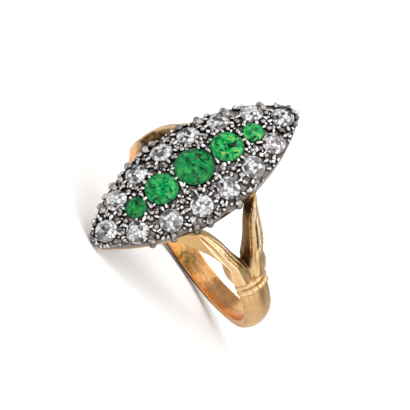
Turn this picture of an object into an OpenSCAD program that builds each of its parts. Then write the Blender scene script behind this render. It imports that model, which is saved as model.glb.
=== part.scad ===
// Navette cluster ring lying on its side: a boat-shaped silver head with five
// graduated green stones in a row and round clear stones about them, on a
// yellow gold hoop whose shoulders split into two leaves on each side.
// All sizes are millimetres. The ring is drawn upright, with X across the
// finger, Y along it and Z up to the head, and then laid on its side.
// The finger hole's axis is the upright Y axis.

/* [Finger hole and band] */

// inside diameter of the finger hole
bore_d = 17; // [14:0.1:22]
// width of the band along the finger at the bottom of the hoop
band_w = 2.05; // [1.4:0.05:4]
// width of the band where the collars stand
band_w_top = 3.1; // [2:0.05:5]
// thickness of the band at the bottom of the hoop
band_t = 1.3; // [0.9:0.05:2.5]
// how much thinner the band is at the height of the hole's middle
band_thinning = 0.18; // [0:0.01:0.3]
// radius of the rounded outside of the band's section
band_crown_r = 2.1; // [1.7:0.05:6]

/* [Collars and shoulders] */

// angle of the collars round the hoop from its bottom
collar_angle = 112; // [90:0.5:125]
// distance between the two collar ridges along the hoop
collar_step = 0.86; // [0.6:0.02:1.4]
// thickness of a collar ridge along the hoop
collar_t = 0.46; // [0.25:0.01:0.7]
// how far a collar ridge stands out of the band
collar_h = 0.2; // [0.08:0.01:0.4]
// height above the hole's middle at which the leaves spring from the band
leaf_start = 3.88; // [3.4:0.02:4.5]
// outward arch of the leaves on the plus X shoulder
leaf_arch_right = 0.6; // [0.2:0.05:2]
// outward arch of the leaves on the minus X shoulder
leaf_arch_left = 1.9; // [0.2:0.05:2]
// how far the minus X fork is filled in above the plus X one, along the finger
fork_fill_left = 1; // [0:0.05:1.2]
// depth of a leaf across the hoop at its foot
leaf_depth_foot = 2.55; // [1.8:0.05:3.4]
// depth of a leaf where it meets the head
leaf_depth_head = 1.4; // [0.8:0.05:2]
// extra width of a front leaf's finger side where it meets the head
leaf_flare_front = 2.3; // [0:0.1:2.6]
// extra width of a back leaf's finger side where it meets the head
leaf_flare_back = 0.5; // [0:0.1:2.6]
// height of the ridge along the middle of each leaf
leaf_ridge = 0.38; // [0.1:0.02:0.6]
// half width over both leaf tips at the head
leaf_spread = 3.5; // [2:0.05:5]
// how far a leaf tip stands out past the head's wall
leaf_tip_out = 0.3; // [0:0.05:0.6]

/* [Head] */

// height of the dome's top above the middle of the finger hole
head_h = 13.5; // [12.5:0.1:17]
// half width of the head across the finger
head_half_w = 5; // [4.5:0.05:7]
// half length of the head at its blunted tips
head_half_l = 11.5; // [10.5:0.05:14]
// how far past the blunted tips the two side arcs would meet
head_arc_reach = 0.7; // [0.3:0.05:2.5]
// how far the wall's foot stands in from its upper edge all round
wall_draft = 0.2; // [0:0.05:0.5]
// radius of the dome across the finger
dome_r_across = 10; // [7:0.5:20]
// radius of the dome along the finger
dome_r_along = 39; // [25:1:80]
// height above the hole's middle of the silver wall's lower edge
wall_foot = 11.4; // [10:0.05:12]
// height of the gold rail under the silver wall
rail_t = 0.38; // [0.25:0.01:0.8]
// width of the gold rail
rail_w = 1; // [0.6:0.05:1.6]
// gap between the rail and the silver wall on it
rail_gap = 0.03; // [0.02:0.01:0.1]
// thickness of the silver plate the stones sit in
plate_t = 0.95; // [0.6:0.05:1.4]
// thickness of the silver wall round the head
wall_t = 0.95; // [0.6:0.05:1.6]
// radius of the arched openings in the wall
arch_r = 0.6; // [0.3:0.05:0.8]

/* [Stones] */

// radius of the middle green stone
green_mid_r = 1.93; // [1.5:0.01:2.1]
// radius of the two green stones next to it
green_next_r = 1.6; // [1.2:0.01:1.8]
// radius of the two small green stones at the row's ends
green_end_r = 1.04; // [0.8:0.01:1.2]
// distance from the head's middle to the next green stones
green_next_y = 3.64; // [3.4:0.01:4]
// distance from the head's middle to the end green stones
green_end_y = 6.55; // [6.3:0.01:7]
// radius of each clear stone
clear_r = 1.1; // [0.9:0.01:1.2]
// distance from the head's middle to the clear stones at the tips
tip_y = 9.9; // [9.5:0.01:10.2]
// shift of the plus X row towards minus Y, and of the other row back
row_slip = 0.14; // [0:0.01:0.3]
// height of the girdles above the silver plate's surface
girdle_lift = 0.08; // [0:0.01:0.2]
// gap all round between a stone and its seat
seat_gap = 0.025; // [0.02:0.005:0.06]

/* [Beads and claws] */

// radius of the larger beads raised between the stones
bead_r = 0.27; // [0.15:0.01:0.35]
// radius of the smaller beads in tight places
bead_small_r = 0.22; // [0.12:0.01:0.3]
// radius of an outer claw at its foot
claw_foot_r = 0.34; // [0.2:0.01:0.5]
// radius of an outer claw at its tip
claw_tip_r = 0.24; // [0.15:0.01:0.4]
// height of an outer claw's tip above the plate's surface
claw_lift = 0.3; // [0.1:0.01:0.5]

/* [Resting place] */

// turn about X that lays the ring down on one head tip and the hoop
lie_turn = 62.8; // [0:0.1:90]
// roll about the upright Y axis at rest
lie_roll = -19.2; // [-40:0.1:40]
// where the hole's middle lies from the middle of the resting ring's box: across
lie_x = 0.576; // [-5:0.001:5]
// the same, along
lie_y = 3.308; // [-8:0.001:8]
// height of the hole's middle above the floor
lie_height = 5.285; // [0:0.005:15]

/* [Hidden] */

$fn = 96;

gold = [0.83, 0.65, 0.36];
silver = [0.62, 0.62, 0.64];
green = [0.05, 0.55, 0.27];
clear = [0.88, 0.91, 0.94];

bore_r = bore_d / 2;
band_out_r = bore_r + band_t - band_thinning;

// side arcs of the head's outline: radius and how far their middles sit off
arc_r = (pow(head_half_l + head_arc_reach, 2) + pow(head_half_w, 2)) / (2 * head_half_w);
arc_off = arc_r - head_half_w;

// the rounded ends of the outline touch both arcs: their middles and radius
arc_left = arc_r - head_half_l;
end_mid = (pow(arc_off, 2) - pow(arc_left, 2)) / (2 * arc_left);
end_r = head_half_l - end_mid;

// half width of the head's outline at y along the finger, less an inset
function outline_x(y, inset = 0) = sqrt(pow(arc_r - inset, 2) - pow(y, 2)) - arc_off;

// the dome is part of a ring-shaped surface whose axis lies across the finger
dome_major = dome_r_along - dome_r_across;
dome_mid = head_h - dome_r_along;

// height above the wall's foot up to which the wall leans out: it clears the dome's edge
edge_rise = dome_mid + dome_major + sqrt(pow(dome_r_across, 2) - pow(head_half_w, 2))
    - wall_foot + 0.2 * plate_t;

// angles of the dome's outward line at a spot
function across_angle(x) = asin(x / dome_r_across);
function along_angle(x, y) = asin(y / (dome_major + dome_r_across * cos(across_angle(x))));

// clear stones of the plus X row from the front tip to the back: across, along
row_x = [1.95, 2.92, 3.38, 3.38, 2.92, 1.95];
row_y = [-7.63, -4.6, -1.5, 1.5, 4.6, 7.63];
function right_spot(i) = [row_x[i], row_y[i] - row_slip];
function left_spot(i) = [-row_x[i], row_y[i] + row_slip];

// every stone: across, along, radius, crown, table and depth as parts of the radius
green_cut = [0.26, 0.6, 0.8];
clear_cut = [0.34, 0.5, 0.84];
STONES = concat(
    [[0, 0, green_mid_r, green_cut],
     [0, -green_next_y, green_next_r, green_cut], [0, green_next_y, green_next_r, green_cut],
     [0, -green_end_y, green_end_r, green_cut], [0, green_end_y, green_end_r, green_cut],
     [0, -tip_y, clear_r, clear_cut], [0, tip_y, clear_r, clear_cut]],
    [for (i = [0:5]) [right_spot(i)[0], right_spot(i)[1], clear_r, clear_cut]],
    [for (i = [0:5]) [left_spot(i)[0], left_spot(i)[1], clear_r, clear_cut]]);

// beads of one quarter of the plate: across, along, 1 for a large one
quarter_beads = [
    [2.06, 0.92, 1], [1.7, 2.02, 1], [2.12, 2.78, 1], [2.98, 3.06, 1], [3.78, 3.02, 0],
    [1.56, 5.36, 1], [0.74, 5.38, 0], [1.76, 6.1, 1], [2.6, 6.14, 1], [3.24, 6.1, 0],
    [0.45, 8.02, 1], [1.16, 8.86, 1], [1.82, 9.12, 0], [1.26, 10.3, 0], [0.7, 11, 0]];
// beads on the line across the middle, and those at the two tips
across_beads = [[2.62, 0, 1], [3.56, 0, 1], [4.3, 0, 0]];
tip_bead_y = head_half_l - 0.42;

// places along the finger of the outer claws; the back of the plus X wall is plain
claw_right_y = [-7.15, -5.3, -3.1, -1.75, 1.45];
claw_left_y = [-8.85, -6.8, -4.45, -1.4, 1.6, 3.4, 5.9, 9];
// places along the finger of the arched openings in the wall
arch_right_y = [-4.2, -0.2, 2.5];
arch_left_y = [-2.9, 0.1, 2.5];

// lays the upright ring on its side, with its lowest point on the floor
module lay() {
    translate([lie_x, lie_y, lie_height])
        rotate([lie_turn, 0, 0]) rotate([0, lie_roll, 0]) children();
}

// puts a thing with its own Z along the dome's outward line at one spot
module on_dome(x, y, lift = 0) {
    translate([0, 0, dome_mid])
        rotate([-along_angle(x, y), 0, 0])
        translate([0, 0, dome_major])
        rotate([0, across_angle(x), 0])
        translate([0, 0, dome_r_across + lift])
        children();
}

// a block on the head's outline, less an inset, that leans in by a draft at its foot
module head_block(inset, high, draft = 0) {
    low = inset + draft;
    intersection() {
        translate([-arc_off, 0, 0])
            cylinder(r1 = arc_r - low, r2 = arc_r - inset, h = high, $fn = 240);
        translate([arc_off, 0, 0])
            cylinder(r1 = arc_r - low, r2 = arc_r - inset, h = high, $fn = 240);
        union() {
            linear_extrude(height = high)
                polygon([[0, end_mid], [arc_off, 2 * end_mid], [arc_off, -2 * end_mid],
                    [0, -end_mid], [-arc_off, -2 * end_mid], [-arc_off, 2 * end_mid]]);
            for (sy = [-1, 1]) translate([0, sy * end_mid, 0])
                cylinder(r1 = max(0.05, end_r - low), r2 = max(0.05, end_r - inset), h = high,
                    $fn = 96);
        }
    }
}

// a solid dome with its surface lowered by the given amount
module dome(lower = 0) {
    translate([0, 0, dome_mid])
        rotate([0, 90, 0])
        rotate_extrude($fn = 240)
        translate([dome_major, 0]) circle(r = dome_r_across - lower);
}

// the crowned band section, seen in a plane through the hoop's axis
module band_section(half_w) {
    intersection() {
        translate([band_out_r - band_crown_r, 0]) circle(r = band_crown_r, $fn = 120);
        translate([bore_r - 0.5, -half_w]) square([band_t + 1, 2 * half_w]);
    }
}

// the tapered hoop up to a little beyond the collars
module band() {
    foot = bore_r + band_t;
    high = foot - bore_r * cos(collar_angle);
    reach = 2 * high;
    widen = (band_w_top - band_w) / 2 / high;
    intersection() {
        translate([0, 0, -band_thinning])
            rotate([90, 0, 0])
            rotate([0, 0, -95 - collar_angle])
            rotate_extrude(angle = 2 * collar_angle + 10, $fn = 240)
            band_section(band_w_top);
        translate([-2 * bore_r, 0, 0])
            rotate([90, 0, 90])
            linear_extrude(height = 4 * bore_r)
            polygon([[-band_w / 2, -foot - 1], [band_w / 2, -foot - 1], [band_w / 2, -foot],
                [band_w / 2 + widen * reach, reach - foot],
                [-band_w / 2 - widen * reach, reach - foot], [-band_w / 2, -foot]]);
    }
}

// one collar ridge: a chamfered slice of an enlarged band section
module ridge(angle) {
    crown_mid = band_out_r - band_crown_r;
    big_r = band_crown_r + collar_h;
    half_w = band_w_top / 2 + collar_h * 0.6;
    soft = collar_t * 0.3;
    rotate([0, -angle, 0]) intersection() {
        translate([0, 0, -crown_mid]) rotate([0, 90, 0]) rotate_extrude($fn = 96)
            polygon([[0, -collar_t / 2], [big_r - soft, -collar_t / 2],
                [big_r, soft - collar_t / 2], [big_r, collar_t / 2 - soft],
                [big_r - soft, collar_t / 2], [0, collar_t / 2]]);
        translate([-1, -half_w, -crown_mid - 2 * big_r]) cube([2, 2 * half_w, 2 * big_r]);
    }
}

// both ridges of one shoulder's collar
module collar() {
    half_step = collar_step / 2 / band_out_r * 180 / PI;
    ridge(collar_angle - half_step);
    ridge(collar_angle + half_step);
}

// stations up a leaf: part of its height, inner edge and outer edge along the
// finger, and part of the flare
leaf_rows = [
    [0, -0.25, 1.62, 0], [0.06, -0.25, 1.8, 0], [0.14, -0.25, 1.98, 0],
    [0.22, -0.1, 2.02, 0], [0.285, 0.12, 1.94, 0], [0.35, 0.34, 1.8, 0.03],
    [0.41, 0.52, 1.94, 0.08], [0.49, 0.76, 2.2, 0.15], [0.58, 1, 2.44, 0.25],
    [0.67, 1.24, 2.66, 0.37], [0.76, 1.56, 2.86, 0.5], [0.85, 1.98, 3.06, 0.64],
    [0.93, 2.5, 3.24, 0.8], [1, 3.02, 3.42, 1]];
leaf_top = wall_foot - rail_gap - 0.2 * rail_t;
leaf_foot_x = sqrt(pow(band_out_r, 2) - pow(leaf_start, 2)) - 0.08 * band_t;
leaf_head_x = outline_x(leaf_spread - 0.2) + leaf_tip_out;
leaf_widen = leaf_spread / 3.5;

// distance of a leaf's outer and inner faces from the hoop's middle plane at f up it
function leaf_chord(f) = leaf_foot_x + (leaf_head_x - leaf_foot_x) * f;
function leaf_out(f, arch) = leaf_chord(f) + 4 * arch * f * (1 - f);
function leaf_ease(f) = max(0, min(1, (f - 0.2) / 0.35));
function leaf_in(f, arch) = leaf_out(f, 0.55 + (arch - 0.55) * leaf_ease(f))
    - leaf_depth_foot + (leaf_depth_foot - leaf_depth_head) * f;

// outline of a leaf at one station, as points of the part's own space
function leaf_loop(row, arch, flare, fill) =
    let (f = row[0], z = leaf_start + (leaf_top - leaf_start) * f,
        a = max(-0.25, row[1] * leaf_widen - fill * (1 - f)), b = row[2] * leaf_widen, w = b - a,
        xo = leaf_out(f, arch), xi = leaf_in(f, arch), r = leaf_ridge * min(1, w / 1.2),
        xm = (xo - r) * 0.5 + xi * 0.5, e = flare * row[3])
    [[xo, a + 0.5 * w, z], [xo - 0.62 * r, a + 0.74 * w, z], [xo - r, b - 0.06 * w, z],
     [xm, b + 0.45 * e, z], [xi + 0.25, b + e - 0.05 * w, z], [xi, b + e - 0.25 * w, z],
     [xi, a + 0.25 * w, z], [xi + 0.2, a + 0.06 * w, z], [xm, a, z],
     [xo - r, a + 0.06 * w, z], [xo - 0.62 * r, a + 0.26 * w, z]];

// one leaf: a ridged skin through its stations
module leaf(arch, flare, fill) {
    n = 11;
    m = len(leaf_rows);
    points = [for (row = leaf_rows) each leaf_loop(row, arch, flare, fill)];
    sides = [for (j = [0:m - 2]) for (i = [0:n - 1]) let (k = (i + 1) % n)
        each [[j * n + i, (j + 1) * n + i, (j + 1) * n + k], [j * n + i, (j + 1) * n + k, j * n + k]]];
    polyhedron(points = points, faces = concat(sides,
        [[for (i = [0:n - 1]) i]], [[for (i = [n - 1:-1:0]) (m - 1) * n + i]]));
}

// both leaves of one shoulder
module leaves(arch, fill = 0) {
    leaf(arch, leaf_flare_back, fill);
    mirror([0, 1, 0]) leaf(arch, leaf_flare_front, fill);
}

// the gold rail under the silver wall
module rail() {
    translate([0, 0, wall_foot - rail_gap - rail_t])
        difference() {
            head_block(wall_draft + 0.04, rail_t);
            translate([0, 0, -0.5]) head_block(rail_w, rail_t + 1);
        }
}

// the finger hole
module bore() {
    rotate([90, 0, 0]) cylinder(r = bore_r, h = 4 * head_half_l, center = true, $fn = 240);
}

// the gold hoop with its collars, leaf shoulders and the rail under the head
module shank() {
    color(gold) lay() difference() {
        union() {
            band();
            collar();
            mirror([1, 0, 0]) collar();
            leaves(leaf_arch_right);
            mirror([1, 0, 0]) leaves(leaf_arch_left, fork_fill_left);
            rail();
        }
        bore();
    }
}

// half height of a stone's girdle and radius of its culet, as parts of its radius
girdle_part = 0.04;
culet_part = 0.1;

// depth below the girdle's middle at which a pavilion has shrunk to a part of its radius
function pavilion_z(s, part) = s[2] * (girdle_part
    + (1 - part) / (1 - culet_part) * (s[3][2] - girdle_part));

// room for one stone with its gap, and the hole below it through the plate
module seat(s) {
    r = s[2];
    g = seat_gap;
    hole = 0.42;
    on_dome(s[0], s[1], girdle_lift)
        rotate_extrude($fn = 72)
        polygon([[0, s[3][0] * r + g], [s[3][1] * r + g, s[3][0] * r + g],
            [r + g, girdle_part * r + g], [r + g, -girdle_part * r - g],
            [hole * r + g, -pavilion_z(s, hole) - g],
            [hole * r + g, -s[3][2] * r - 0.6], [0, -s[3][2] * r - 0.6]]);
}

// one bead standing in the plate's surface
module bead(b) {
    r = b[2] == 1 ? bead_r : bead_small_r;
    on_dome(b[0], b[1], 0.12) sphere(r = r, $fn = 32);
}

// all beads, four to each spot of the quarter's list
module beads() {
    for (b = quarter_beads) for (sx = [-1, 1]) for (sy = [-1, 1])
        bead([sx * b[0], sy * b[1], b[2]]);
    for (b = across_beads) for (sx = [-1, 1]) bead([sx * b[0], 0, b[2]]);
    for (sy = [-1, 1]) bead([0, sy * tip_bead_y, 1]);
}

// one tapered claw on the outside of the wall, leaning in over the stones
module claw(y) {
    foot_x = outline_x(y) - 0.16;
    top_x = outline_x(y) - 0.3;
    top_h = dome_mid + (dome_major + sqrt(pow(dome_r_across, 2) - pow(top_x, 2))) + claw_lift
        - pow(y, 2) / 2 / dome_r_along;
    high = top_h - wall_foot;
    lean = atan((foot_x - top_x) / high);
    translate([foot_x, y, wall_foot]) rotate([0, -lean, 0]) {
        cylinder(r1 = claw_foot_r, r2 = claw_tip_r, h = high, $fn = 32);
        translate([0, 0, high]) sphere(r = claw_tip_r, $fn = 32);
    }
}

// an arched opening at the wall's foot
module arch(y) {
    turn = atan(y / (arc_off + outline_x(y)));
    translate([outline_x(y), y, wall_foot + 0.05])
        rotate([0, 0, turn])
        rotate([0, 90, 0])
        cylinder(r = arch_r, h = 2 * wall_t + 0.6, center = true, $fn = 48);
}

// the silver head: domed plate and wall, beads and claws, seats and openings
module setting() {
    color(silver) lay() difference() {
        union() {
            difference() {
                intersection() {
                    translate([0, 0, wall_foot]) union() {
                        head_block(0, edge_rise, wall_draft);
                        translate([0, 0, edge_rise]) head_block(0, 3);
                    }
                    dome();
                }
                intersection() {
                    translate([0, 0, wall_foot - 3]) head_block(wall_t, 7);
                    dome(plate_t);
                }
            }
            beads();
            for (y = claw_right_y) claw(y);
            mirror([1, 0, 0]) for (y = claw_left_y) claw(y);
        }
        translate([0, 0, wall_foot - 1]) cube([4 * head_half_w, 3 * head_half_l, 2], center = true);
        for (y = arch_right_y) arch(y);
        mirror([1, 0, 0]) for (y = arch_left_y) arch(y);
        for (s = STONES) seat(s);
    }
}

// eight or sixteen points round a stone's axis
function ring_of(n, rad, z, off = 0) = [for (i = [0:n - 1])
    [rad * cos(i * 360 / n + off), rad * sin(i * 360 / n + off), z]];

// a round cut stone: table, stars, kites, upper and lower girdle facets, pavilion
module stone(s, turn = 0) {
    r = s[2];
    crown = s[3][0] * r;
    table = s[3][1] * r;
    girdle = girdle_part * r;
    points = concat(ring_of(8, table, crown),
        ring_of(8, (r + table) / 2, crown * 0.58, 22.5),
        ring_of(16, r, girdle), ring_of(16, r, -girdle),
        ring_of(8, 0.56 * r, -pavilion_z(s, 0.56), 22.5),
        ring_of(8, culet_part * r, -s[3][2] * r));
    k = 8;
    g = 16;
    h = 32;
    p = 48;
    c = 56;
    crown_faces = [for (i = [0:7]) let (n = (i + 1) % 8) each [
        [i, n, k + i], [n, g + 2 * n, k + i], [n, k + n, g + 2 * n],
        [k + i, g + 2 * i + 1, g + 2 * i], [k + i, g + 2 * n, g + 2 * i + 1]]];
    girdle_faces = [for (i = [0:15]) let (n = (i + 1) % 16) each [
        [g + i, h + n, h + i], [g + i, g + n, h + n]]];
    pavilion_faces = [for (i = [0:7]) let (n = (i + 1) % 8) each [
        [p + i, h + 2 * i, h + 2 * i + 1], [p + i, h + 2 * i + 1, h + 2 * n],
        [p + i, h + 2 * n, c + n], [p + n, c + n, h + 2 * n], [p + i, c + n, c + i]]];
    lay() on_dome(s[0], s[1], girdle_lift) rotate([0, 0, turn])
        polyhedron(points = points, faces = concat([[for (i = [7:-1:0]) i]],
            [[for (i = [0:7]) c + i]], crown_faces, girdle_faces, pavilion_faces));
}

module green_middle() color(green) stone(STONES[0], 6);
module green_next_front() color(green) stone(STONES[1], 14);
module green_next_back() color(green) stone(STONES[2], 31);
module green_end_front() color(green) stone(STONES[3], 9);
module green_end_back() color(green) stone(STONES[4], 24);
module clear_tip_front() color(clear) stone(STONES[5], 12);
module clear_tip_back() color(clear) stone(STONES[6], 35);
module clear_right_1() color(clear) stone(STONES[7], 3);
module clear_right_2() color(clear) stone(STONES[8], 18);
module clear_right_3() color(clear) stone(STONES[9], 27);
module clear_right_4() color(clear) stone(STONES[10], 8);
module clear_right_5() color(clear) stone(STONES[11], 40);
module clear_right_6() color(clear) stone(STONES[12], 15);
module clear_left_1() color(clear) stone(STONES[13], 22);
module clear_left_2() color(clear) stone(STONES[14], 5);
module clear_left_3() color(clear) stone(STONES[15], 33);
module clear_left_4() color(clear) stone(STONES[16], 12);
module clear_left_5() color(clear) stone(STONES[17], 29);
module clear_left_6() color(clear) stone(STONES[18], 17);

shank();
setting();
green_middle();
green_next_front();
green_next_back();
green_end_front();
green_end_back();
clear_tip_front();
clear_tip_back();
clear_right_1();
clear_right_2();
clear_right_3();
clear_right_4();
clear_right_5();
clear_right_6();
clear_left_1();
clear_left_2();
clear_left_3();
clear_left_4();
clear_left_5();
clear_left_6();
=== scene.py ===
"""Looks of the navette cluster ring: worn gold with a painted sheen on its
leaves, painted orange light and painted shade in its forks, blackened silver
with bright beads and claws and painted shade on the head's wall, green stones
with inner clouds, and clear cut stones whose facets are painted reflections."""

import math
import random

import bmesh
import bpy
import numpy as np
from mathutils import Matrix, Vector, noise


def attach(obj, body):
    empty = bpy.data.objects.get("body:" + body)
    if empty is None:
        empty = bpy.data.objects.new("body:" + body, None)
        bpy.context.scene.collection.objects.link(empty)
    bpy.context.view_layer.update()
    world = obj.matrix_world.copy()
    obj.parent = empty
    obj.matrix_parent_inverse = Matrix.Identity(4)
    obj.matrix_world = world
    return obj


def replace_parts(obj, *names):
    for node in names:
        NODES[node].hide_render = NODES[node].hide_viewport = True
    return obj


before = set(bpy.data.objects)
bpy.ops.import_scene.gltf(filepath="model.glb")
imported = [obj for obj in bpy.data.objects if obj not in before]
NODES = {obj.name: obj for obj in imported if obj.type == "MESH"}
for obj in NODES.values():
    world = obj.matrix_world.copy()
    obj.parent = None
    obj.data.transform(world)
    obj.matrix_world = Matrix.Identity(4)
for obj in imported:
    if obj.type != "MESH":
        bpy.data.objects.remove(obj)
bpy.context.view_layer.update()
MM = 0.001

# The upright ring's frame, in millimetres: X across the finger, Y along it and
# Z up to the head. RING takes it to the row's frame, in metres.
LIE_TURN, LIE_ROLL = 62.8, -19.2
HOLE_MID = Vector((0.576, 3.308, 5.285))
TURN = Matrix.Rotation(math.radians(LIE_TURN), 4, "X") @ Matrix.Rotation(math.radians(LIE_ROLL), 4, "Y")
RING = Matrix.Scale(MM, 4) @ Matrix.Translation(HOLE_MID) @ TURN

# The head's dome and outline, as the CAD has them: each long side is an arc
# whose middle lies ARC_OFF past the finger's line, and each tip is rounded
# about TIP_MID
HEAD_H, DOME_ACROSS, DOME_ALONG = 13.5, 10.0, 39.0
DOME_MAJOR, DOME_MID = DOME_ALONG - DOME_ACROSS, HEAD_H - DOME_ALONG
HALF_W, ARC_REACH, HALF_L = 5.0, 12.2, 11.5
ARC_R = (ARC_REACH ** 2 + HALF_W ** 2) / (2 * HALF_W)
ARC_OFF = ARC_R - HALF_W
TIP_MID = (ARC_OFF ** 2 - (ARC_R - HALF_L) ** 2) / (2 * (ARC_R - HALF_L))
WALL_FOOT = 11.4
CLAW_RIGHT_Y = (-7.15, -5.3, -3.1, -1.75, 1.45)
CLAW_LEFT_Y = (-8.85, -6.8, -4.45, -1.4, 1.6, 3.4, 5.9, 9)
CLAW_R_RIGHT, CLAW_R_LEFT = 0.30, 0.38

# The hoop and its shoulders, as the CAD has them; each leaf row is a share of
# the leaf's height, and its inner and outer edge there
BORE_R, BAND_OUT = 8.5, 9.62
COLLAR_ANGLE = 112
LEAF_FOOT, LEAF_TOP, LEAF_ARCH_LEFT = 3.88, 11.29, 1.9
LEAF_ROWS = np.array([
    (0, -0.25, 1.62), (0.06, -0.25, 1.8), (0.14, -0.25, 1.98), (0.22, -0.1, 2.02),
    (0.285, 0.12, 1.94), (0.35, 0.34, 1.8), (0.41, 0.52, 1.94), (0.49, 0.76, 2.2),
    (0.58, 1, 2.44), (0.67, 1.24, 2.66), (0.76, 1.56, 2.86), (0.85, 1.98, 3.06),
    (0.93, 2.5, 3.24), (1, 3.02, 3.42)])
FORK_FILL_LEFT = 1.0


# Node tools

class Nodes:
    """A short way to write a material's or a world's node tree."""

    def __init__(self, tree):
        self.tree = tree
        self.tree.nodes.clear()

    def add(self, kind, inputs=None, **settings):
        """A node with its settings, and each input linked or set to a plain value."""
        node = self.tree.nodes.new(kind)
        for key, value in settings.items():
            setattr(node, key, value)
        for key, value in (inputs or {}).items():
            if isinstance(value, bpy.types.NodeSocket):
                self.tree.links.new(value, node.inputs[key])
            else:
                node.inputs[key].default_value = value
        return node

    def noise(self, where, scale, detail=4, rough=0.55, distortion=0.0):
        return self.add("ShaderNodeTexNoise", {
            "Vector": where, "Scale": scale, "Detail": detail, "Roughness": rough,
            "Distortion": distortion}).outputs["Fac"]

    def ramp(self, factor, stops):
        node = self.add("ShaderNodeValToRGB", {"Fac": factor})
        points = node.color_ramp.elements
        while len(points) < len(stops):
            points.new(0.5)
        for point, (place, colour) in zip(points, stops):
            point.position = place
            point.color = (*colour, 1)
        return node.outputs["Color"]

    def spread(self, factor, low, high, to_low=0.0, to_high=1.0):
        """The range from low to high drawn out over another range."""
        return self.add("ShaderNodeMapRange", {
            "Value": factor, "From Min": low, "From Max": high,
            "To Min": to_low, "To Max": to_high}).outputs["Result"]

    def mix(self, factor, a, b):
        """Colour a where the factor is 0 and colour b where it is 1."""
        def colour(value):
            return value if isinstance(value, bpy.types.NodeSocket) else (*value, 1)

        inputs = {0: factor, 6: colour(a), 7: colour(b)}
        return self.add("ShaderNodeMix", inputs, data_type="RGBA").outputs[2]

    def math(self, operation, a, b=0.0):
        return self.add("ShaderNodeMath", {0: a, 1: b}, operation=operation).outputs[0]

    def plus(self, a, b):
        return self.math("ADD", a, b)

    def minus(self, a, b):
        return self.math("SUBTRACT", a, b)

    def times(self, a, b):
        return self.math("MULTIPLY", a, b)

    def vector(self, operation, a, b):
        return self.add("ShaderNodeVectorMath", {0: a, 1: b}, operation=operation)

    def bump(self, height, depth_mm, strength, normal=None):
        inputs = {"Height": height, "Distance": depth_mm * MM, "Strength": strength}
        if normal is not None:
            inputs["Normal"] = normal
        return self.add("ShaderNodeBump", inputs).outputs["Normal"]

    def openness(self, reach_mm):
        """How open a place is: 0 in a deep gap, 1 on a bare face."""
        return self.add("ShaderNodeAmbientOcclusion", {"Distance": reach_mm * MM}, samples=6).outputs["AO"]


def material(name):
    made = bpy.data.materials.new(name)
    made.use_nodes = True
    return made, Nodes(made.node_tree)


def finish_material(nodes, inputs):
    shader = nodes.add("ShaderNodeBsdfPrincipled", inputs)
    nodes.add("ShaderNodeOutputMaterial", {"Surface": shader.outputs["BSDF"]})


def millimetres(nodes):
    """Object coordinates in millimetres of the row's frame."""
    where = nodes.add("ShaderNodeTexCoord").outputs["Object"]
    return nodes.add("ShaderNodeVectorMath", {0: where, "Scale": 1 / MM}, operation="SCALE").outputs[0]


# Materials

# Stops from the darkest to the brightest tone of the filed hoop, of the
# polished leaves, which are a painted sheen from dark shading lines to cream
# highlights, of the hoop's inside and of the stain in it
HOOP_TONES = [(0.3, (0.52, 0.305, 0.118)), (0.5, (0.57, 0.350, 0.145)), (0.72, (0.62, 0.405, 0.185))]
LEAF_SHEEN_TONES = [(0.38, (0.36, 0.15, 0.045)), (0.45, (0.78, 0.48, 0.21)), (0.56, (0.98, 0.77, 0.48))]
INSIDE_TONES = [(0.36, (0.52, 0.275, 0.100)), (0.52, (0.62, 0.385, 0.175)), (0.66, (0.68, 0.48, 0.26))]
STAIN_TONES = [(0.4, (0.15, 0.075, 0.02)), (0.6, (0.34, 0.30, 0.04))]
# painted orange light, inside the hoop and behind the head
GLOW_TONE = (0.90, 0.33, 0.07)
# painted shade in the forks and under the head
FORK_SHADE_TONE = (0.050, 0.020, 0.008)
# the dark brown that the gold takes in its deep gaps and cut lines
GAP_TONE = (0.12, 0.055, 0.022)
# painted shade on the silver head's upright wall, and how far it covers the silver there
WALL_SHADE_TONE, WALL_SHADE_COVER = (0.16, 0.13, 0.11), 0.88


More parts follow.
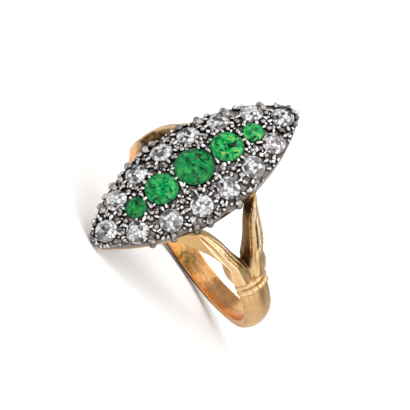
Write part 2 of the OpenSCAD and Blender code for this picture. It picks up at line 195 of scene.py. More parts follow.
def gold_material():
    """Yellow gold: satin where it was filed, polished on the leaves with a painted
    sheen there, with painted orange light inside the hoop and behind the head,
    stained places, painted shade in the forks and under the head, fine scratches
    round the hoop, and darker in the deep gaps and the cut lines. The marks are
    painted on the mesh as point attributes."""
    made, n = material("gold")
    mm = millimetres(n)

    def painted(name, output="Fac"):
        return n.add("ShaderNodeAttribute", attribute_name=name).outputs[output]

    def along_hoop(stretch):
        where = painted("hoop", "Vector")
        return n.add("ShaderNodeMapping", {"Vector": where, "Scale": stretch}).outputs["Vector"]

    polish_and_painted_sheen, groove, inner = painted("polish_and_painted_sheen"), painted("groove"), painted("inner")
    cloud = n.noise(mm, 0.55, 5, 0.6)
    fine = n.noise(mm, 3.2, 4, 0.6)
    streak = n.noise(along_hoop((0.35, 1.5, 1.0)), 1.0, 3, 0.55, 0.8)
    leaf = n.noise(painted("leaf_map", "Vector"), 3.0, 3, 0.6, 0.4)

    # the polished leaves take a painted sheen, from dark shading lines to cream highlights
    tint = n.mix(polish_and_painted_sheen, n.ramp(cloud, HOOP_TONES), n.ramp(leaf, LEAF_SHEEN_TONES))
    tint = n.mix(inner, tint, n.ramp(streak, INSIDE_TONES))
    # painted orange light inside the hoop and on a spot behind the head
    tint = n.mix(n.times(painted("painted_glow"), n.spread(streak, 0.30, 0.60)), tint, GLOW_TONE)
    blot = n.times(painted("stain"), n.spread(n.noise(mm, 1.7, 5, 0.65), 0.34, 0.54))
    tint = n.mix(blot, tint, n.ramp(fine, STAIN_TONES))
    # painted shade in the forks and under the head
    tint = n.mix(n.times(painted("shade"), n.spread(streak, 0.38, 0.62, 0.72, 1.0)), tint, FORK_SHADE_TONE)
    # the colour darkens in the deep gaps, where the ambient occlusion is low, and in the cut lines; the
    # polished leaves darken less
    open_part = n.plus(n.plus(n.openness(0.9), n.times(fine, 0.14)), n.times(polish_and_painted_sheen, 0.25))
    open_share = n.minus(n.spread(open_part, 0.20, 0.60), n.times(groove, 0.85))
    colour = n.mix(n.math("MAXIMUM", open_share, 0.0), GAP_TONE, tint)

    rough = n.minus(n.spread(fine, 0.3, 0.7, 0.36, 0.48), n.times(polish_and_painted_sheen, 0.24))
    rough = n.minus(rough, n.times(inner, 0.14))
    normal = n.bump(n.noise(along_hoop((0.5, 6.0, 1.0)), 4.0, 3, 0.7), 0.012, 0.6)
    normal = n.bump(n.noise(mm, 1.5, 4, 0.5), 0.05, 0.7, normal)
    normal = n.bump(n.minus(1.0, groove), 0.12, 1.0, normal)
    normal = n.bump(n.times(leaf, polish_and_painted_sheen), 0.05, 0.7, normal)
    finish_material(n, {"Base Color": colour, "Metallic": 1.0, "Roughness": rough, "Normal": normal})
    return made


def ring_axis(axis):
    """A direction of the upright ring in the row's frame."""
    return TURN.to_3x3() @ Vector(axis)


def outline_room(n, mm):
    """How far inside the head's long sides a point lies, in millimetres."""
    from_hole = n.vector("SUBTRACT", mm, HOLE_MID).outputs["Vector"]
    across = n.vector("DOT_PRODUCT", from_hole, ring_axis((1, 0, 0))).outputs["Value"]
    along = n.vector("DOT_PRODUCT", from_hole, ring_axis((0, 1, 0))).outputs["Value"]
    away = n.plus(n.math("ABSOLUTE", across), ARC_OFF)
    spot = n.add("ShaderNodeCombineXYZ", {"X": away, "Y": along}).outputs[0]
    span = n.add("ShaderNodeVectorMath", {0: spot}, operation="LENGTH").outputs["Value"]
    return n.minus(ARC_R, span)


def wall_shade_share(n, mm, edge):
    """Where the silver takes painted shade: on the head's upright wall or, by the
    share edge, on its brink.
    """
    facing = n.add("ShaderNodeNewGeometry").outputs["True Normal"]
    lift = n.vector("DOT_PRODUCT", facing, ring_axis((0, 0, 1))).outputs["Value"]
    upright = n.minus(1.0, n.spread(n.math("ABSOLUTE", lift), 0.22, 0.42))
    brink = n.minus(1.0, n.spread(outline_room(n, mm), 0.16, 0.42))
    return n.math("MAXIMUM", n.times(upright, 0.4 + 0.6 * edge), n.times(brink, edge))


def silver_material(name, dark, tones, open_range, rough_range, bump_mm, edge):
    """Silver that is black in the depths and bright where it is rubbed, and a
    painted shade of brownish grey on the head's upright wall."""
    made, n = material(name)
    mm = millimetres(n)
    fine = n.noise(mm, 3.6, 5, 0.65)
    open_part = n.plus(n.openness(0.7), n.times(n.minus(fine, 0.5), 0.5))
    skin = n.ramp(n.noise(mm, 1.3, 4, 0.6), list(zip((0.36, 0.62), tones)))
    # painted shade: the head's upright wall and its brink turn a dark brownish grey
    skin = n.mix(n.times(wall_shade_share(n, mm, edge), WALL_SHADE_COVER), skin, WALL_SHADE_TONE)
    colour = n.mix(n.spread(open_part, *open_range), dark, skin)
    rough = n.spread(fine, 0.3, 0.7, *rough_range)
    normal = n.bump(n.noise(mm, 5.0, 4, 0.6), bump_mm, 0.9)
    finish_material(n, {"Base Color": colour, "Metallic": 1.0, "Roughness": rough, "Normal": normal})
    return made


def green_material(name, place, radius, shift, deep, veil):
    """A green stone with clouds, dark flaws and paler veils inside and a dark
    rim. The shift picks its pattern, deep its lightness, veil how much it is veiled."""
    made, n = material(name)
    mm = millimetres(n)
    moved = n.vector("ADD", mm, (shift, 2 * shift, -shift)).outputs["Vector"]
    cloud = n.noise(moved, 0.75, 4, 0.58, 1.6)
    flaw = n.noise(moved, 1.1, 4, 0.6, 2.4)
    colour = n.ramp(cloud, [
        (0.34, (0.0, 0.05 * deep, 0.016 * deep)), (0.42, (0.0, 0.23 * deep, 0.05 * deep)),
        (0.55, (0.0, 0.42 * deep, 0.10 * deep)), (0.68, (0.05, 0.48 * deep, 0.10 * deep))])
    colour = n.mix(n.spread(flaw, 0.54, 0.60), colour, (0.0, 0.018, 0.010))
    colour = n.mix(n.times(n.spread(flaw, 0.43, 0.35), veil), colour, (0.27, 0.44, 0.09))
    away = n.vector("DISTANCE", mm, place / MM).outputs["Value"]
    away = n.plus(away, n.times(n.minus(flaw, 0.5), 0.5 * radius))
    rim = n.spread(away, 0.78 * radius, 1.02 * radius)
    colour = n.mix(n.times(rim, 0.8), colour, (0.0, 0.05, 0.018))
    rough = n.spread(flaw, 0.3, 0.7, 0.06, 0.16)
    facet = n.add("ShaderNodeTexVoronoi", {"Vector": moved, "Scale": 1.1}).outputs["Distance"]
    finish_material(n, {
        "Base Color": colour, "Roughness": rough, "Normal": n.bump(facet, 0.10, 0.35), "IOR": 1.5,
        "Specular IOR Level": 0.18})
    return made


def clear_material(name, tint, shift):
    """A clear stone of high refraction, its many small facets drawn as cells of
    painted reflection, from black through grey and the tint to white, with dark
    lines between them. The shift picks its pattern."""
    made, n = material(name)
    mm = millimetres(n)
    cells = {"Vector": n.vector("ADD", mm, (shift, -shift, 2 * shift)).outputs["Vector"], "Scale": 2.6}
    gap = n.add("ShaderNodeTexVoronoi", cells, feature="DISTANCE_TO_EDGE").outputs["Distance"]
    cell = n.add("ShaderNodeTexVoronoi", cells)
    pick = n.add("ShaderNodeSeparateXYZ", {0: cell.outputs["Color"]}).outputs["X"]
    # painted facet reflections: each cell is black, grey, tinted or white
    tone = n.ramp(pick, [
        (0.22, (0.02, 0.018, 0.017)), (0.25, (0.30, 0.29, 0.29)), (0.38, (0.34, 0.33, 0.33)),
        (0.42, tint), (0.8, (1.0, 1.0, 1.0))])
    colour = n.mix(n.spread(gap, 0.02, 0.09), (0.06, 0.05, 0.045), tone)
    rough = n.spread(n.noise(mm, 1.4, 3, 0.5), 0.3, 0.7, 0.0, 0.03)
    normal = n.bump(cell.outputs["Distance"], 0.12, 0.5)
    finish_material(n, {
        "Base Color": colour, "Roughness": rough, "Normal": normal, "IOR": 2.1, "Transmission Weight": 0.4})
    return made


GOLD = gold_material()
SILVER_GROUND = silver_material(
    "silver_ground", dark=(0.010, 0.007, 0.006), tones=((0.22, 0.19, 0.18), (0.52, 0.49, 0.47)),
    open_range=(0.58, 0.98), rough_range=(0.14, 0.30), bump_mm=0.07, edge=1.0)
SILVER_BRIGHT = silver_material(
    "silver_bright", dark=(0.012, 0.009, 0.008), tones=((0.46, 0.43, 0.41), (0.88, 0.86, 0.85)),
    open_range=(0.52, 0.88), rough_range=(0.07, 0.2), bump_mm=0.07, edge=0.25)
SILVER_CLAW = silver_material(
    "silver_claw", dark=(0.02, 0.015, 0.013), tones=((0.14, 0.125, 0.115), (0.68, 0.65, 0.63)),
    open_range=(0.44, 0.90), rough_range=(0.10, 0.24), bump_mm=0.16, edge=0.35)


# Geometry tools

def on_dome(x, y, lift=0.0):
    """The matrix of a place on the dome with its own Z outwards, in the ring's frame."""
    across = math.asin(max(-1, min(1, x / DOME_ACROSS)))
    along = math.asin(y / (DOME_MAJOR + DOME_ACROSS * math.cos(across)))
    return (Matrix.Translation((0, 0, DOME_MID)) @ Matrix.Rotation(-along, 4, "X")
            @ Matrix.Translation((0, 0, DOME_MAJOR)) @ Matrix.Rotation(across, 4, "Y")
            @ Matrix.Translation((0, 0, DOME_ACROSS + lift)))


def outline_x(y):
    """Half width of the head's outline at a place along the finger."""
    return math.sqrt(max(0.0, ARC_R ** 2 - y * y)) - ARC_OFF


def edge_room(x, y):
    """How far a spot lies inside the head's outline."""
    side = ARC_R - math.hypot(abs(x) + ARC_OFF, y)
    if abs(y) > TIP_MID:
        return min(side, HALF_L - TIP_MID - math.hypot(x, abs(y) - TIP_MID))
    return side


def put(name, mesh, paint):
    """A smooth piece from a mesh in the ring's frame."""
    mesh.transform(RING)
    mesh.polygons.foreach_set("use_smooth", [True] * len(mesh.polygons))
    piece = bpy.data.objects.new(name, mesh)
    bpy.context.scene.collection.objects.link(piece)
    mesh.materials.clear()
    mesh.materials.append(paint)
    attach(piece, "root")
    return piece


def as_mesh(name, made):
    """A plain mesh from a bmesh, which is freed."""
    mesh = bpy.data.meshes.new(name)
    made.to_mesh(mesh)
    made.free()
    return mesh


def ring_points(mesh):
    """A mesh's points as an array, three to a row."""
    points = np.empty(len(mesh.vertices) * 3)
    mesh.vertices.foreach_get("co", points)
    return points.reshape(-1, 3)


def point_normals(mesh):
    normals = np.empty(len(mesh.vertices) * 3)
    mesh.vertex_normals.foreach_get("vector", normals)
    return normals.reshape(-1, 3)


def set_points(mesh, points):
    mesh.vertices.foreach_set("co", points.astype(np.float32).ravel())
    mesh.update()


def softened(node, voxel, passes, extra):
    """A closed copy of a CAD node in the ring's frame, joined with a further
    closed mesh, remeshed finely and smoothed."""
    joined = bmesh.new()
    joined.from_mesh(NODES[node].data)
    joined.transform(RING.inverted())
    bmesh.ops.remove_doubles(joined, verts=joined.verts, dist=0.0008)
    joined.from_mesh(extra)
    work = bpy.data.objects.new("work", as_mesh("work", joined))
    bpy.context.scene.collection.objects.link(work)
    remesh = work.modifiers.new("remesh", "REMESH")
    remesh.mode = "VOXEL"
    remesh.voxel_size = voxel
    smooth = work.modifiers.new("smooth", "SMOOTH")
    smooth.factor = 0.5
    smooth.iterations = passes
    bpy.context.view_layer.update()
    made = bpy.data.meshes.new_from_object(work.evaluated_get(bpy.context.evaluated_depsgraph_get()))
    bpy.data.objects.remove(work)
    return made


def wear_round(mesh, points, share, passes):
    """Draw points to their neighbours' mean again and again, each by its share."""
    ends = np.empty(len(mesh.edges) * 2, dtype=np.int64)
    mesh.edges.foreach_get("vertices", ends)
    a, b = ends.reshape(-1, 2).T
    count = len(points)
    links = np.bincount(a, minlength=count) + np.bincount(b, minlength=count)
    for _ in range(passes):
        for axis in range(3):
            column = points[:, axis]
            total = np.bincount(a, column[b], count) + np.bincount(b, column[a], count)
            points[:, axis] = column + share * (total / links - column)


def bell(value, middle, width):
    return np.exp(-((value - middle) / width) ** 2)


def step(value, low, high):
    """A soft step from 0 at low to 1 at high."""
    t = np.clip((value - low) / (high - low), 0, 1)
    return t * t * (3 - 2 * t)


def tube(target, path, radii, sides=10):
    """A closed tube along a path of points, added to a bmesh."""
    rings = []
    for i, point in enumerate(path):
        ahead = path[min(i + 1, len(path) - 1)] - path[max(i - 1, 0)]
        turn = ahead.to_track_quat("Z", "Y").to_matrix()
        rings.append([target.verts.new(point + turn @ Vector((
            radii[i] * math.cos(a * 2 * math.pi / sides), radii[i] * math.sin(a * 2 * math.pi / sides), 0)))
            for a in range(sides)])
    close_loops(target, rings)


def close_loops(target, loops):
    """Walls between loops of as many points each, and a face over either end."""
    sides = len(loops[0])
    for low, high in zip(loops, loops[1:]):
        for a in range(sides):
            b = (a + 1) % sides
            target.faces.new((low[a], low[b], high[b], high[a]))
    target.faces.new(loops[0][::-1])
    target.faces.new(loops[-1])


# Gold hoop

# The remesh's grain in millimetres, a coarser one for trials and the finer one
# that is used, and the rounds of smoothing after it
HOOP_VOXEL_QUICK, HOOP_VOXEL, HOOP_SMOOTHING = 0.12, 0.09, 4
# Lines cut along a leaf: place across it, depth and width
LEAF_LINES = ((0.16, 0.85, 0.035), (0.80, 0.6, 0.03), (0.64, 0.4, 0.025), (0.36, 0.35, 0.02))
# Lines cut beside the collar's ridges: degrees from its middle, depth and width
COLLAR_LINES = ((0, 1.0, 0.8), (-4.7, 0.7, 0.7), (4.5, 0.7, 0.7))
# How deep the lines are cut and how far the hand-filed faces waver
CUT_DEPTH, WAVER = 0.055, 0.03
# The web that closes the far fork: its share of the leaves' height, and layers
WEB_FROM, WEB_SPAN, WEB_LAYERS = 0.24, 0.36, 12


def far_leaf_x(f):
    """Distance of the far shoulder's outer face from the hoop's middle plane."""
    foot, head = math.sqrt(BAND_OUT ** 2 - LEAF_FOOT ** 2) - 0.1, outline_x(3.3) + 0.3
    return foot + (head - foot) * f + 4 * LEAF_ARCH_LEFT * f * (1 - f)


def far_web():
    """The gold that closes the far shoulder's fork up to the bend of its leaves."""
    made = bmesh.new()
    loops = []
    for k in range(WEB_LAYERS + 1):
        f = WEB_FROM + WEB_SPAN * k / WEB_LAYERS
        half = float(np.interp(f, LEAF_ROWS[:, 0], LEAF_ROWS[:, 1])) + 0.25
        out, z = far_leaf_x(f) - 0.08, LEAF_FOOT + (LEAF_TOP - LEAF_FOOT) * f
        depth = 1.7 - 0.9 * (k / WEB_LAYERS) ** 2
        corners = ((out, -half), (out + 0.1, 0), (out, half), (out - depth, half), (out - depth, -half))
        loops.append([made.verts.new((-x, y, z)) for x, y in corners])
    close_loops(made, loops)
    bmesh.ops.recalc_face_normals(made, faces=made.faces)
    return as_mesh("far_web", made)


def hoop_turn(x, z):
    """Degrees up from the hoop's lowest point."""
    return np.degrees(np.arctan2(np.abs(x), -z))


def worn_hoop():
    """The hoop's mesh and its points, the far shoulder and the collar worn round,
    and how near each point is to the collar."""
    mesh = softened("shank", HOOP_VOXEL, HOOP_SMOOTHING, far_web())
    points = ring_points(mesh)
    x, z = points[:, 0], points[:, 2]
    far = step(-x, 6.0, 7.0) * step(z, LEAF_FOOT + 0.3, LEAF_FOOT + 1.2)
    far = far * step(-z, 0.3 - LEAF_TOP, 1.5 - LEAF_TOP)
    wear_round(mesh, points, 0.6 * far, 90)
    near_collar = bell(hoop_turn(x, z), COLLAR_ANGLE, 8.0)
    near_collar = near_collar * step(np.hypot(x, z), BORE_R + 0.5, BORE_R + 0.9)
    wear_round(mesh, points, 0.5 * near_collar, 30)
    return mesh, points, near_collar


def leaf_places(points):
    """Each point's share of the leaves' height, the leaf's inner edge there, and
    the point's share of the leaf's width, counted from the fork."""
    x, y, z = points.T
    up = (z - LEAF_FOOT) / (LEAF_TOP - LEAF_FOOT)
    inner = np.interp(up, LEAF_ROWS[:, 0], LEAF_ROWS[:, 1])
    inner = np.where(x < 0, np.maximum(-0.25, inner - FORK_FILL_LEFT * (1 - up)), inner)
    outer = np.interp(up, LEAF_ROWS[:, 0], LEAF_ROWS[:, 2])
    return up, inner, (np.abs(y) - inner) / np.maximum(0.3, outer - inner)


def leaf_marks(x, y, up, share, outward):
    """The leaves' polished faces, which also take the painted sheen, weaker on the
    far shoulder and on the upright leaf's outer part, and the lines and the slot
    cut in them.
    """
    near_upright = (y > 0) * (x > 0)
    face = step(outward, 0.25, 0.6) * step(up, 0.10, 0.24) * (1 - step(up, 0.93, 1.0))
    on_leaf = face * step(share, -0.1, 0.05) * (1 - step(share, 1.0, 1.15)) * np.where(x > 0, 1.0, 0.3)
    on_leaf = on_leaf * step(up, 0.22, 0.42) * (1 - 0.8 * step(share, 0.72, 0.9) * near_upright)
    lines = sum(depth * bell(share, place, width) for place, depth, width in LEAF_LINES)
    slot = face * bell(share, 0.52, 0.075) * step(up, 0.40, 0.5) * (1 - step(up, 0.72, 0.85)) * near_upright
    return on_leaf, on_leaf * lines + 1.3 * slot


def collar_lines(x, z):
    turn = hoop_turn(x, z) - COLLAR_ANGLE
    lines = sum(depth * bell(turn, place, width) for place, depth, width in COLLAR_LINES)
    return lines * step(np.hypot(x, z), BORE_R + 0.4, BORE_R + 0.8) * (z < 5.2)


def fork_shade(points, up, inner, share, outward, sideways):
    """Painted shade in the forks: on the leaves' sides that face each other, the
    near fork's root, the rail under the head and the far fork behind its leaves,
    and a light painted shade on the far shoulder's leaf that lies towards +Y."""
    x, y, z = points.T
    to_fork = step(-sideways, 0.25, 0.6) * (y > 0) * step(up, 0.04, 0.12) * (1 - step(outward, 0.5, 0.95))
    root = 1.3 * bell(np.hypot(y - 0.3, 0.8 * (z - LEAF_FOOT - 2.3)), 0, 0.70) * step(np.abs(x), 6.5, 7.5)
    root = root * (1 - 0.85 * step(share, 0.06, 0.20))
    near_fork = to_fork * (0.74 + 0.40 * step(-up, -0.45, -0.2) + 0.3 * step(up, 0.75, 0.9))
    between = (1 - step(y, inner + 0.05, inner + 0.25)) * step(y, -inner - 0.45, -inner - 0.2)
    behind = step(far_leaf_x(np.clip(up, 0, 1)) - np.abs(x), 0.12, 0.28)
    far_fork = np.maximum(step(z, 6.4, 7.0) * between * behind, 0.22 * step(z, 6.0, 7.0) * (y > 0))
    off_leaf = 1 - step(share, -0.2, -0.05) * (1 - step(share, 1.05, 1.2))
    rail = step(z, LEAF_TOP - 0.55, LEAF_TOP - 0.35) * step(y, -2.9, -2.3) * (1 - step(y, 6.0, 7.0))
    rail = rail * off_leaf
    return np.clip(np.where(x > 0, near_fork + root + rail, np.maximum(to_fork, far_fork)), 0, 1)


def inside_marks(points, along, inside):
    """The painted orange light along the lower edge inside the hoop and on the spot
    behind the head, and the olive stain."""
    x, y, z = points.T
    painted_glow = inside * np.clip(0.25 + 1.1 * bell(y, -0.85, 0.35) + 0.5 * bell(y, 0.9, 0.25), 0, 1)
    painted_glow = np.maximum(painted_glow, 0.9 * (x < 0) * bell(np.hypot(y + 2.3, z - 10.1), 0, 1.3))
    return painted_glow, inside * bell(np.hypot(along + 3.2, 0.9 * (y + 0.4)), 0, 1.0)


def paint_points(mesh, numbers, vectors):
    """Store named values for the material, one to a point."""
    for name, values in numbers.items():
        layer = mesh.attributes.new(name, "FLOAT", "POINT")
        layer.data.foreach_set("value", values.astype(np.float32))
    for name, values in vectors.items():
        layer = mesh.attributes.new(name, "FLOAT_VECTOR", "POINT")
        layer.data.foreach_set("vector", values.astype(np.float32).ravel())


def make_shank():
    mesh, points, near_collar = worn_hoop()
    x, y, z = points.T
    up, inner, share = leaf_places(points)
    # the near shoulder's upright leaf is a little wider than the CAD has it
    points[:, 1] += 0.30 * bell(up, 0.5, 0.28) * step(share, 0.3, 1.0) * (y > 0) * (x > 0) * (share < 1.6)
    set_points(mesh, points)
    normals = point_normals(mesh)
    outward = normals[:, 0] * np.sign(x)
    radius, along = np.hypot(x, z), BORE_R * np.arctan2(x, -z)
    inside = step(BORE_R + 0.25 - radius, 0, 0.2) * (np.abs(y) < 4)

    on_leaf, leaf_cuts = leaf_marks(x, y, up, share, outward)
    foot = 0.4 * step(up, -0.12, -0.04) * (1 - step(up, 0.3, 0.5)) * step(outward, 0.1, 0.4) * (x > 0)
    # the same mask puts a lighter painted sheen on the leaves' near feet and a painted glint on the near
    # collar's ridges
    polish_and_painted_sheen = np.maximum(np.maximum(on_leaf, foot), 0.5 * near_collar * (x > 0))
    groove = np.clip(leaf_cuts + 0.55 * collar_lines(x, z), 0, 1.4)
    # painted orange light inside the hoop and behind the head, and the olive stain
    painted_glow, stain = inside_marks(points, along, inside)
    # painted shade in the forks and under the head
    shade = fork_shade(points, up, inner, share, outward, normals[:, 1])
    # the hoop shows the unevenness of hand work
    wave = np.sin(1.3 * x + 0.7 * y) * np.sin(0.9 * z - 1.1 * y + 0.6) * np.sin(0.8 * x - 0.6 * z + 1.9)
    cut = CUT_DEPTH * groove + WAVER * (wave + 0.3) * (1 - inside)
    set_points(mesh, points - normals * cut[:, None])

    paint_points(mesh, {
        "groove": groove, "painted_glow": painted_glow, "stain": stain, "polish_and_painted_sheen": polish_and_painted_sheen, "inner": inside, "shade": shade,
    }, {
        "hoop": np.stack([along, y, radius], 1),
        "leaf_map": np.stack([1.7 * share, 0.45 * up, 3 * np.sign(y) + 7 * np.sign(x)], 1)})
    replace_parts(put("shank_gold", mesh, GOLD), "shank")


# Stones

# Each green stone's pattern, lightness and veils
GREENS = {
    "green_middle": (0.0, 0.60, 0.2), "green_next_front": (7.3, 0.78, 0.45),
    "green_next_back": (3.9, 0.97, 1.7), "green_end_front": (12.1, 0.52, 0.2),
    "green_end_back": (17.7, 0.86, 1.3)}
# Other patterns for the clear stones that came out too dark in the first one
CLEAR_SHIFT = {"clear_left_3": 5.3, "clear_left_2": 2.7, "clear_right_2": 3.1}
CLEAR_TINT = (0.90, 0.93, 0.97)
PINKISH, PINKISH_TINT = "clear_right_6", (1.0, 0.72, 0.80)


def stone_places():
    """Each stone node's across, along and radius, from its own mesh."""
    places = {}
    back = RING.inverted()
    for name, node in NODES.items():
        if not name.startswith(("green", "clear")):
            continue
        points = np.array([back @ v.co for v in node.data.vertices])
        middle = (points.min(0) + points.max(0)) / 2
        along = math.atan2(middle[1], middle[2] - DOME_MID)
        across = math.atan2(middle[0], math.hypot(middle[1], middle[2] - DOME_MID) - DOME_MAJOR)
        x = DOME_ACROSS * math.sin(across)
        y = (DOME_MAJOR + DOME_ACROSS * math.cos(across)) * math.sin(along)
        place = on_dome(x, y).inverted()
        local = np.array([place @ Vector(p) for p in points])
        places[name] = (x, y, float(np.hypot(local[:, 0], local[:, 1]).max()))
    return places


STONES = stone_places()


def paint_node(name, paint):
    mesh = NODES[name].data
    mesh.materials.clear()
    mesh.materials.append(paint)


def dress_stones():
    for name, (x, y, radius) in STONES.items():
        if name in GREENS:
            place = RING @ on_dome(x, y, 0.2).translation
            paint_node(name, green_material(name, place, radius, *GREENS[name]))
        else:
            tint = PINKISH_TINT if name == PINKISH else CLEAR_TINT
            paint_node(name, clear_material(name, tint, CLEAR_SHIFT.get(name, 0.0)))


# Silver head

GRAIN_SEED, BEAD_TRIES = 11, 3500
BEAD_RADII = (0.13, 0.17, 0.22, 0.28)
BEAD_LIFT, BEAD_LUMPS = 0.09, 0.30
# Claws round a stone: how many for a clear one, and for greens over a radius
CLEAR_PRONGS, GREEN_PRONGS = 8, ((1.8, 11), (1.4, 9), (0, 7))


def bead_mesh(target, place, size, number):
    """One hand-raised bead, a little uneven and pointed if it is long, added to a
    bmesh."""
    made = bmesh.ops.create_icosphere(target, subdivisions=2, radius=1)
    point = 0.55 if size[0] > 1.5 * size[1] else 0.0
    shift = Vector((number * 7, number * 3, number))
    for vertex in made["verts"]:
        lump = 1 + BEAD_LUMPS * noise.noise(vertex.co * 2.0 + shift)
        thin = 1 + point * vertex.co.x
        vertex.co = place @ Vector((vertex.co.x * lump * size[0], vertex.co.y * thin * lump * size[1],
                                    vertex.co.z * lump * size[2]))


def green_claws():
    """A pair of pointed claws beside each place where two green stones meet."""
    spots = []
    greens = sorted((place for name, place in STONES.items() if name in GREENS), key=lambda p: p[1])
    for (ax, ay, ar), (bx, by, br) in zip(greens, greens[1:]):
        along = math.atan2(by - ay, bx - ax)
        reach = ar / (ar + br)
        x, y = ax + (bx - ax) * reach, ay + (by - ay) * reach
        for side in (-1, 1):
            turn = along + side * math.pi / 2
            spots.append((x + 0.66 * math.cos(turn), y + 0.66 * math.sin(turn), (0.42, 0.2, 0.3), turn))
    return spots


def prong_spots(rng):
    """Short claws round each stone, each as across, along, size and turn; their
    tips reach over the stone's edge."""
    spots = green_claws()
    for name, (sx, sy, sr) in STONES.items():
        clear = name not in GREENS
        count = CLEAR_PRONGS if clear else next(n for least, n in GREEN_PRONGS if sr > least)
        start = rng.uniform(0, 2 * math.pi)
        for k in range(count):
            angle = start + (k + rng.uniform(-0.18, 0.18)) * 2 * math.pi / count
            length, width = rng.uniform(0.30, 0.42), rng.uniform(0.16, 0.21)
            if not clear:
                length *= 0.75
            away = sr + length * (0.45 if clear else 0.2)
            x, y = sx + away * math.cos(angle), sy + away * math.sin(angle)
            crowd = min(math.hypot(x - a, y - b) - r for o, (a, b, r) in STONES.items() if o != name)
            near = min([math.hypot(x - p[0], y - p[1]) for p in spots] or [9])
            room = edge_room(x, y)
            if crowd < 0.02 or near < 0.28 or room < 0.08:
                continue
            length = min(length, max(0.18, room + 0.08))
            spots.append((x, y, (length, min(width, length), 0.22), angle))
    return spots


def edge_beads(rng):
    """Beads along the far long edge, between its claws."""
    spots = []
    y = -10.2
    while y < 10.6:
        if min(abs(y - c) for c in CLAW_LEFT_Y) > 0.55:
            size = rng.uniform(0.14, 0.34)
            spots.append((-(outline_x(y) - 0.10), y, (size * rng.uniform(1.0, 1.5), size, size),
                          rng.uniform(0, math.pi)))
        y += rng.uniform(0.45, 1.3)
    return spots


def grain_spots():
    """The claws, the edge's beads, then beads in the room that is left."""
    rng = random.Random(GRAIN_SEED)
    spots = prong_spots(rng)
    spots += edge_beads(rng)
    for _ in range(BEAD_TRIES):
        y = rng.uniform(-HALF_L, HALF_L)
        x = rng.uniform(-HALF_W, HALF_W)
        radius = rng.choice(BEAD_RADII)
        if edge_room(x, y) < radius * 0.7:
            continue
        if any(math.hypot(x - a, y - b) < r + radius * 0.75 for a, b, r in STONES.values()):
            continue
        if any(math.hypot(x - p[0], y - p[1]) < radius + 0.8 * p[2][1] for p in spots):
            continue
        spots.append((x, y, (radius * rng.uniform(1.0, 1.6), radius, radius * 0.9), rng.uniform(0, math.pi)))
    return spots


def make_grains():
    made = bmesh.new()
    for number, (x, y, size, turn) in enumerate(grain_spots()):
        bead_mesh(made, on_dome(x, y, BEAD_LIFT) @ Matrix.Rotation(turn, 4, "Z"), size, number)
    put("grains", as_mesh("grains", made), SILVER_BRIGHT)


def make_tip_rims():
    """The thin raised rim that curls round each tip stone."""
    made = bmesh.new()
    inset, half_sweep, steps, widest = 0.22, 118, 32, 0.15
    reach = HALF_L - TIP_MID - inset
    for side in (-1, 1):
        path, radii = [], []
        for k in range(steps + 1):
            angle = math.radians(2 * half_sweep * k / steps - half_sweep)
            x = reach * math.sin(angle)
            y = TIP_MID + reach * math.cos(angle)
            if math.cos(angle) < 0.6:
                # past the round tip, the rim follows the long side
                x = math.copysign(min(abs(outline_x(y) - inset), abs(x) + 1), x)
            path.append(on_dome(x, side * y, 0.02).translation)
            radii.append(widest * (1 - 0.75 * abs(2 * k / steps - 1) ** 3))
        tube(made, path, radii)
    put("tip_rims", as_mesh("tip_rims", made), SILVER_CLAW)


def claw_reach(side, y):
    """How far in from the outline a claw runs before it lies on a stone's edge."""
    reach, longest, overlap = 0.45, 1.1, 0.10
    while reach < longest:
        x = side * (outline_x(y) - reach)
        if min(math.hypot(x - a, y - b) - r for a, b, r in STONES.values()) < -overlap:
            break
        reach += 0.05
    return reach


def make_wall_claws():
    """The outer claws: rounded ribs drawn up the wall and over the edge to the stones."""
    made = bmesh.new()
    steps = 16
    for side, y in [(1, y) for y in CLAW_RIGHT_Y] + [(-1, y) for y in CLAW_LEFT_Y]:
        out, reach = outline_x(y), claw_reach(side, y)
        widest = CLAW_R_RIGHT if side > 0 else CLAW_R_LEFT
        foot = Vector((side * (out - 0.06), y, WALL_FOOT + 0.3))
        edge = on_dome(side * (out - 0.02), y, 0.0).translation
        top = on_dome(side * (out - reach), y, 0.16).translation
        bend = (edge - foot).length / ((edge - foot).length + reach)
        path, radii = [], []
        for k in range(steps + 1):
            t = k / steps
            point = foot.lerp(edge, t / bend) if t < bend else edge.lerp(top, (t - bend) / (1 - bend))
            path.append(point + Vector((side * 0.10 * math.sin(math.pi * t), 0, 0)))
            radii.append(widest * (0.35 + 0.65 * math.sin(math.pi * (0.08 + 0.84 * t)) ** 0.6))
        tube(made, path, radii, 12)
    bmesh.ops.smooth_vert(
        made, verts=made.verts, factor=0.5, use_axis_x=True, use_axis_y=True, use_axis_z=True)
    put("wall_claws", as_mesh("wall_claws", made), SILVER_CLAW)


# Studio

RIGHT = ring_axis((0.5798, 0.8129, -0.0550))
UP = ring_axis((-0.6988, 0.5309, 0.4794))
BACK = ring_axis((0.4189, -0.2395, 0.8759))


def make_camera():
    """The photograph's view: the scale is in pixels to a millimetre at the hole's
    middle, and that middle's place in the image is in pixels from the top left."""
    distance, scale, image, sensor = 300.0, 10.5285, 410.0, 36
    middle = (202.72, 238.11)
    data = bpy.data.cameras.new("camera")
    camera = bpy.data.objects.new("camera", data)
    bpy.context.scene.collection.objects.link(camera)
    data.sensor_width = sensor
    data.lens = sensor * distance * scale / image
    data.shift_x = (image / 2 - middle[0]) / image
    data.shift_y = (middle[1] - image / 2) / image
    data.clip_start, data.clip_end = 0.01, 20
    axes = Matrix((RIGHT.normalized(), UP.normalized(), BACK.normalized())).transposed().to_4x4()
    camera.matrix_world = Matrix.Translation((HOLE_MID + distance * BACK) * MM) @ axes
    bpy.context.scene.camera = camera


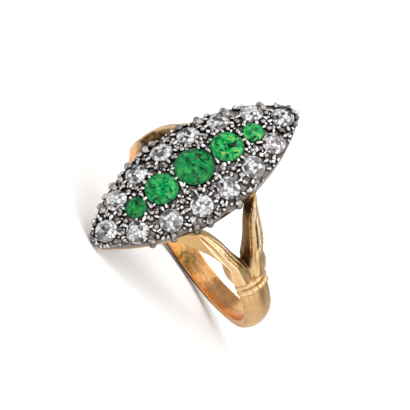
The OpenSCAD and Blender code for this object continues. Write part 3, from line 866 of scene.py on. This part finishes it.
def make_light(name, direction, distance, size, radiance, colour=(1, 1, 1)):
    """A round soft light that shines on the ring from a direction."""
    data = bpy.data.lights.new(name, "AREA")
    data.shape = "DISK"
    data.size = size
    data.energy = radiance * (math.pi * size / 2) ** 2
    data.color = colour
    light = bpy.data.objects.new(name, data)
    bpy.context.scene.collection.objects.link(light)
    light.location = Vector(direction).normalized() * distance
    light.rotation_mode = "QUATERNION"
    light.rotation_quaternion = light.location.to_track_quat("Z", "Y")


def make_floor():
    """The pale ground, six metres to each side."""
    side = 6.0
    mesh = bpy.data.meshes.new("floor")
    mesh.from_pydata(
        [(-side, -side, 0), (side, -side, 0), (side, side, 0), (-side, side, 0)], [], [(0, 1, 2, 3)])
    paint, n = material("floor")
    tone = n.ramp(n.noise(millimetres(n), 0.02, 2), [(0.3, (0.96, 0.96, 0.96)), (0.7, (0.98, 0.98, 0.98))])
    finish_material(n, {"Base Color": tone, "Roughness": 0.7, "Specular IOR Level": 0.2})
    mesh.materials.append(paint)
    floor = bpy.data.objects.new("floor", mesh)
    bpy.context.scene.collection.objects.link(floor)


def make_world():
    """A room of dark and bright clouds, for the metal and the stones to mirror."""
    world = bpy.data.worlds.new("studio")
    world.use_nodes = True
    w = Nodes(world.node_tree)
    where = w.add("ShaderNodeTexCoord").outputs["Generated"]
    tone = w.ramp(w.noise(where, 3.2, 2, 0.5), [
        (0.38, (0.03, 0.03, 0.033)), (0.46, (0.25, 0.25, 0.26)),
        (0.54, (0.80, 0.80, 0.80)), (0.64, (2.0, 2.0, 2.0))])
    back = w.add("ShaderNodeBackground", {"Color": tone, "Strength": 1.0})
    w.add("ShaderNodeOutputWorld", {"Surface": back.outputs[0]})
    bpy.context.scene.world = world


def make_studio():
    make_floor()
    make_world()
    make_light("top", (0.15, -0.35, 1), 0.50, 1.20, 1.08)
    make_light("front", BACK * 0.8 + UP * 0.5 - RIGHT * 0.2, 0.45, 0.12, 6.0, (1.0, 0.98, 0.95))
    make_light("side", BACK * 0.5 + RIGHT * 0.9 + UP * 0.1, 0.45, 0.10, 4.0)
    bpy.context.scene.view_settings.view_transform = "Standard"


make_shank()
paint_node("setting", SILVER_GROUND)
make_grains()
make_wall_claws()
make_tip_rims()
dress_stones()
make_camera()
make_studio()

bpy.context.view_layer.update()
